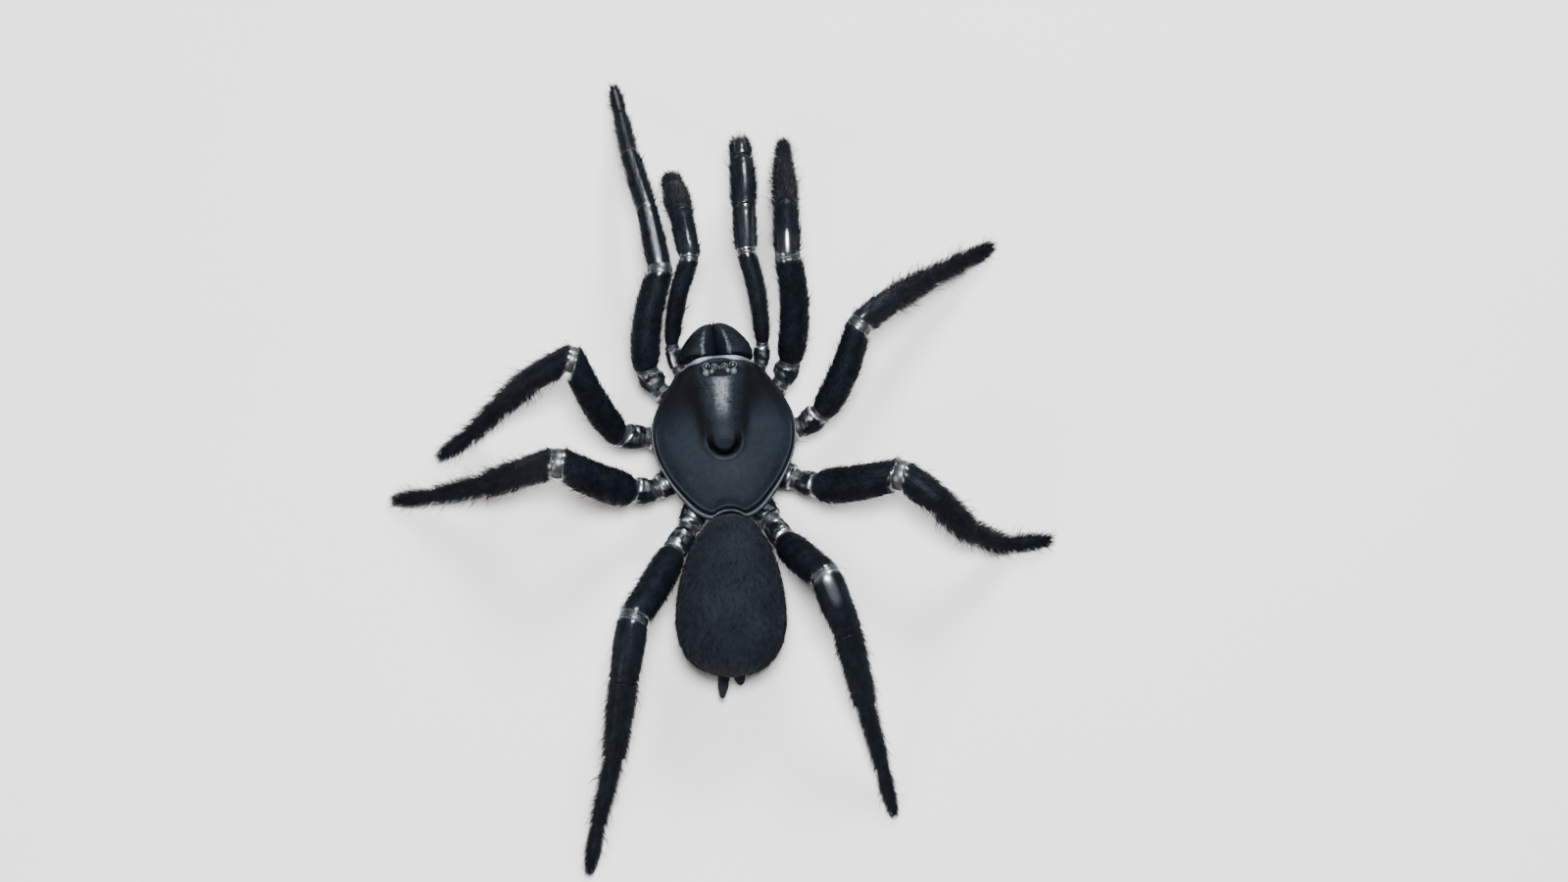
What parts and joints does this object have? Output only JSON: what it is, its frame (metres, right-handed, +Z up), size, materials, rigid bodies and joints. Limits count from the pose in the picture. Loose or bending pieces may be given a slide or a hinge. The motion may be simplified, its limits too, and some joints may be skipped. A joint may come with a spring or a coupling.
{
  "type": "trapdoor spider",
  "caption": "Life-size still model of an adult male trapdoor spider standing with its legs spread: glossy black limbs and carapace, velvety abdomen.",
  "frame": {"origin": "middle of the outer box at floor level, under the waist between carapace and abdomen", "axes": "+Z up from the floor, -Y the way the head points, +X the spider's left"},
  "size_m": [0.0334, 0.0416, 0.0078],
  "materials": {
    "carapace_cuticle": "satin blue-black cuticle with fine grain",
    "leg_cuticle": "glossy black cuticle with short dark hair",
    "abdomen_velvet": "matt velvety charcoal hair",
    "fang_cuticle": "polished, black with a dark red tint",
    "ventral_cuticle": "dark brown-black cuticle, slightly glossy"
  },
  "bodies": {
    "root": {"abdomen": "abdomen_velvet", "spinneret_left": "abdomen_velvet", "spinneret_right": "abdomen_velvet", "carapace": "carapace_cuticle", "sternum": "ventral_cuticle", "pedicel": "ventral_cuticle", "chelicera_left": "leg_cuticle", "chelicera_right": "leg_cuticle", "fang_left": "fang_cuticle", "fang_right": "fang_cuticle", "palp_left_coxa": "leg_cuticle", "palp_left_femur": "leg_cuticle", "palp_left_patella": "leg_cuticle", "palp_left_tibia": "leg_cuticle", "palp_right_coxa": "leg_cuticle", "palp_right_femur": "leg_cuticle", "palp_right_patella": "leg_cuticle", "palp_right_tibia": "leg_cuticle", "leg_1_left_coxa": "leg_cuticle", "leg_1_left_femur": "leg_cuticle", "leg_1_left_patella": "leg_cuticle", "leg_1_left_tibia": "leg_cuticle", "leg_1_left_foot": "leg_cuticle", "leg_1_right_coxa": "leg_cuticle", "leg_1_right_femur": "leg_cuticle", "leg_1_right_patella": "leg_cuticle", "leg_1_right_tibia": "leg_cuticle", "leg_1_right_foot": "leg_cuticle", "leg_2_left_coxa": "leg_cuticle", "leg_2_left_femur": "leg_cuticle", "leg_2_left_patella": "leg_cuticle", "leg_2_left_tibia": "leg_cuticle", "leg_2_left_foot": "leg_cuticle", "leg_2_right_coxa": "leg_cuticle", "leg_2_right_femur": "leg_cuticle", "leg_2_right_patella": "leg_cuticle", "leg_2_right_tibia": "leg_cuticle", "leg_2_right_foot": "leg_cuticle", "leg_3_left_coxa": "leg_cuticle", "leg_3_left_femur": "leg_cuticle", "leg_3_left_patella": "leg_cuticle", "leg_3_left_tibia": "leg_cuticle", "leg_3_left_foot": "leg_cuticle", "leg_3_right_coxa": "leg_cuticle", "leg_3_right_femur": "leg_cuticle", "leg_3_right_patella": "leg_cuticle", "leg_3_right_tibia": "leg_cuticle", "leg_3_right_foot": "leg_cuticle", "leg_4_left_coxa": "leg_cuticle", "leg_4_left_femur": "leg_cuticle", "leg_4_left_patella": "leg_cuticle", "leg_4_left_tibia": "leg_cuticle", "leg_4_left_foot": "leg_cuticle", "leg_4_right_coxa": "leg_cuticle", "leg_4_right_femur": "leg_cuticle", "leg_4_right_patella": "leg_cuticle", "leg_4_right_tibia": "leg_cuticle", "leg_4_right_foot": "leg_cuticle"}
  },
  "joints": []
}
